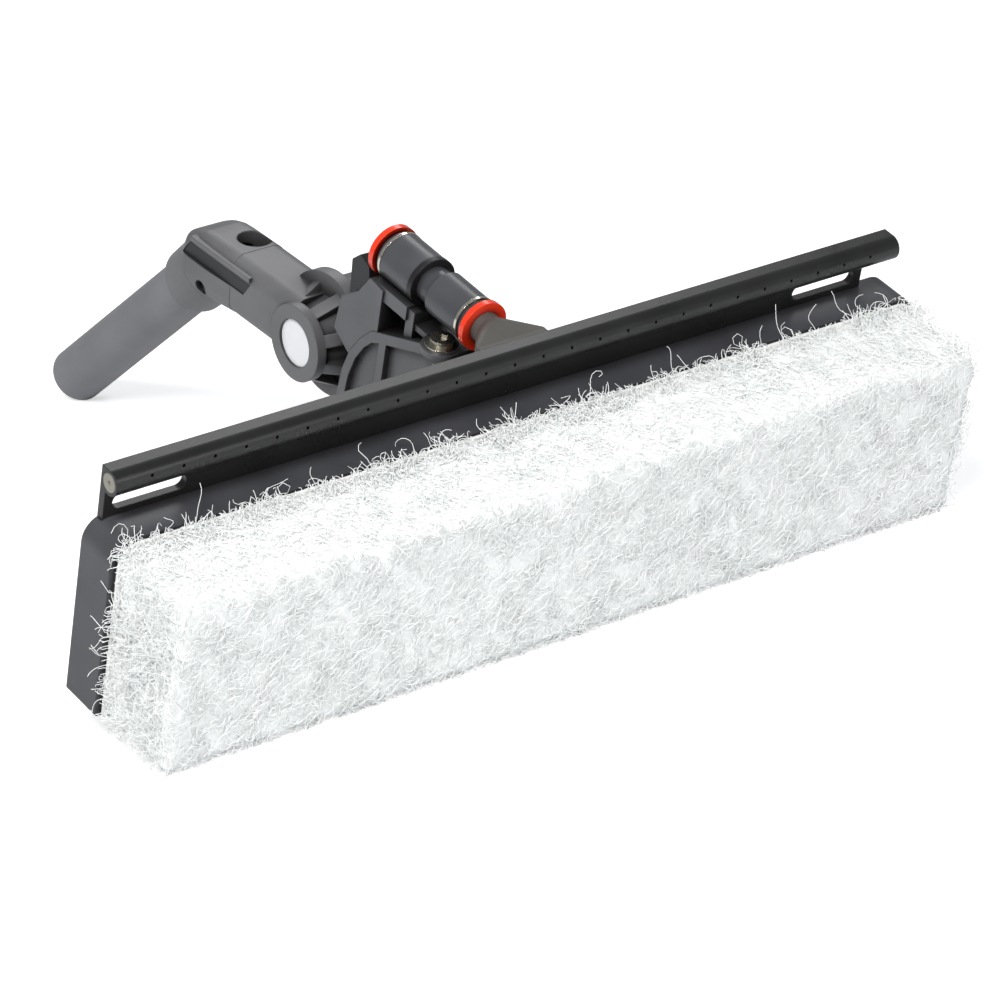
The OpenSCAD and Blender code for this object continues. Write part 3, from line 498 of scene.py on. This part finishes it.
def curls(rng, corner, edge_u, edge_v, out, count):
    """Rows of points, one row a thread, all in the head's frame."""
    corner, edge_u, edge_v, out = (np.array(a, float) for a in (corner, edge_u, edge_v, out))
    unit_u = edge_u / np.linalg.norm(edge_u)
    unit_v = edge_v / np.linalg.norm(edge_v)
    along_u = rng.uniform(0, 1, (count, 1))
    along_v = rng.uniform(0, 1, (count, 1))
    start = corner + along_u * edge_u + along_v * edge_v
    step = rng.uniform(*FIBRE_LENGTH, count) / (FIBRE_POINTS - 1)
    heading = rng.uniform(0, 2 * math.pi, count)
    rate = rng.uniform(*FIBRE_BEND, count) * rng.choice([-1, 1], count)
    drift = rng.normal(0, FIBRE_DRIFT, count)
    height = rng.uniform(*FIBRE_ARCH, count)
    flat_u = np.zeros(count)
    flat_v = np.zeros(count)
    rows = []
    for k in range(FIBRE_POINTS):
        arch = math.sin(math.pi * k / (FIBRE_POINTS - 1)) ** 0.8
        rise = (height + FIBRE_SUNK) * arch - FIBRE_SUNK
        flat = flat_u[:, None] * unit_u + flat_v[:, None] * unit_v
        rows.append(start + flat + rise[:, None] * out)
        flat_u = flat_u + step * np.cos(heading)
        flat_v = flat_v + step * np.sin(heading)
        heading = heading + (rate + drift * k) * step
    return np.stack(rows, axis=1)


def threads(name, groups, radius):
    curve = bpy.data.curves.new(name, "CURVE")
    curve.dimensions = "3D"
    curve.bevel_depth = radius * MILLIMETRE
    curve.bevel_resolution = 0
    curve.use_fill_caps = False
    head_turn = np.array(HEAD.to_3x3())
    move = np.array(HEAD.to_translation())
    for rows in groups:
        world_rows = rows @ head_turn.T + move
        count, steps, _ = world_rows.shape
        for i in range(count):
            line = curve.splines.new("POLY")
            line.points.add(steps - 1)
            four = np.ones((steps, 4))
            four[:, :3] = world_rows[i]
            line.points.foreach_set("co", four.ravel())
    temp = bpy.data.objects.new(name + "_curve", curve)
    scene.collection.objects.link(temp)
    graph = bpy.context.evaluated_depsgraph_get()
    mesh = bpy.data.meshes.new_from_object(temp.evaluated_get(graph))
    bpy.data.objects.remove(temp)
    mesh.name = name
    mesh.shade_smooth()
    piece = bpy.data.objects.new(name, mesh)
    scene.collection.objects.link(piece)
    return piece


rng = np.random.default_rng(41)
share = 1.0
groups = []
for corner, edge_u, edge_v, out in faces_of_pad():
    area = np.linalg.norm(edge_u) * np.linalg.norm(edge_v)
    count = int(area * (FIBRE_DENSITY * share))
    groups.append(curls(rng, corner, edge_u, edge_v, out, count))
fibres = threads("pad_fibres", groups, FIBRE_RADIUS)
print("fibres", len(fibres.data.polygons), "faces")

# %% [markdown]
# Where the block was cut, and all along its rear edge, loose ends stand up and fall over the
# dark tray. They grow in tufts, so a slow wave of noise along the edge decides how many start
# at a place. Short ones make the soft fringe, and fewer long ones curl well clear of it.

# %% Stray fibres along the edges
TRAY_FRONT, TRAY_TOP, TRAY_END = -19.0, -20.1, 178.8
END_REACH = 4
STRAY_RADIUS = 0.13
STRAY_POINTS = 11
# Shape of the spread of lengths, spread of the first way and of the turning axis
LENGTH_SHAPE, WAY_SPREAD, AXIS_SPREAD = 2.2, 0.45, 0.30
# Least and most of a thread's curl, and how much it changes from point to point
CURL_RANGE, CURL_CHANGE = (0.5, 1.7), 0.25
# How strongly a wave of noise along the edge gathers the starts
TUFT_SCALE, TUFT_POWER, TUFT_GAIN = 0.085, 2.2, 1.6
# How far under the pad's surface a thread starts, and how far from the back at the top
STRAY_SUNK, TOP_BAND = 0.8, 7
# How far a start may lie behind the pad, how near its front and how near its top
PAST_BACK, NEAR_FRONT, NEAR_TOP = 0.5, 4, 2
TOP_SEED, END_SEED = 3.1, 9.4
# Number of threads, mean length and curl: first the short ones, then the long ones
TOP_STRAYS = ((3400, 3.2, 0.75), (620, 8.5, 0.50))
END_STRAYS = ((1000, 3.4, 0.7), (300, 9.0, 0.45))


def tufted(rng, count, low, high, seed):
    """Places between low and high that crowd together where the noise is strong."""
    at = rng.uniform(low, high, count * 4)
    wave = [noise.noise(Vector((u * TUFT_SCALE, seed, 0.3))) for u in at]
    crowd = 0.5 + 0.5 * np.array(wave)
    keep = rng.uniform(0, 1, len(at)) < crowd ** TUFT_POWER * TUFT_GAIN
    return at[keep][:count]


def wander(rng, starts, ways, length, curl):
    """Free threads, one row each, that keep turning and stay out of the tray."""
    count = len(starts)
    place = starts.copy()
    way = ways + rng.normal(0, WAY_SPREAD, (count, 3))
    way /= np.linalg.norm(way, axis=1)[:, None]
    axis = rng.normal(0, 1, (count, 3))
    rate = rng.uniform(*CURL_RANGE, count) * rng.choice([-1, 1], count) * curl
    step = rng.gamma(LENGTH_SHAPE, length / LENGTH_SHAPE, count) / (STRAY_POINTS - 1)
    rows = []
    for _ in range(STRAY_POINTS):
        rows.append(place.copy())
        axis += rng.normal(0, AXIS_SPREAD, (count, 3))
        across = np.cross(axis / np.linalg.norm(axis, axis=1)[:, None], way)
        rate += rng.normal(0, curl * CURL_CHANGE, count)
        way = way + across * (rate * step)[:, None]
        way /= np.linalg.norm(way, axis=1)[:, None]
        place = place + way * step[:, None]
        behind = place[:, 1] > TRAY_FRONT
        near_end = np.abs(place[:, 0]) > TRAY_END - END_REACH
        at_end = behind & near_end & (place[:, 2] < TRAY_TOP)
        on_top = behind & ~at_end
        place[on_top, 2] = np.maximum(place[on_top, 2], TRAY_TOP)
        side = np.sign(place[at_end, 0])
        place[at_end, 0] = side * np.maximum(np.abs(place[at_end, 0]), TRAY_END)
    return np.stack(rows, axis=1)


strays = []
for count, length, curl in TOP_STRAYS:
    across = tufted(rng, int(count * share), -PAD_SIDE, PAD_SIDE, TOP_SEED)
    depth = rng.uniform(PAD_BACK - TOP_BAND, PAD_BACK + PAST_BACK, len(across))
    level = np.full(len(across), PAD_HIGH - STRAY_SUNK)
    ways = np.tile((0.0, 0.75, 1.0), (len(across), 1))
    strays.append(wander(rng, np.stack([across, depth, level], axis=1), ways, length, curl))
for side in (-1, 1):
    for count, length, curl in END_STRAYS:
        level = tufted(rng, int(count * share), PAD_LOW, PAD_HIGH - NEAR_TOP, END_SEED + side)
        depth = rng.uniform(PAD_FRONT + NEAR_FRONT, PAD_BACK + PAST_BACK, len(level))
        across = np.full(len(level), side * (PAD_SIDE - STRAY_SUNK))
        ways = np.tile((side * 1.0, 0.8, -0.1), (len(level), 1))
        strays.append(wander(rng, np.stack([across, depth, level], axis=1), ways, length, curl))
stray_fibres = threads("stray_fibres", strays, STRAY_RADIUS)
print("strays", len(stray_fibres.data.polygons), "faces")

# %% [markdown]
# The threads are a little whiter and glossier than the core, with a slow change of tone from
# place to place, so the pad doesn't look like one flat white.

# %% Finish of the fibres
MOTTLE_SCALE = 60.0

fibre_white, tree, shader = new_look("fibre_white")
tone = two_tones(tree, noise_field(tree, MOTTLE_SCALE, 4.0), (0.35, 0.65),
                 ((0.93, 0.95, 0.94), (0.98, 0.985, 0.98)))
tree.links.new(tone, shader.inputs["Base Color"])
shader.inputs["Roughness"].default_value = 0.45
shader.inputs["Specular IOR Level"].default_value = 0.4
for piece in (fibres, stray_fibres):
    piece.data.materials.append(fibre_white)
    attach(piece, "head")
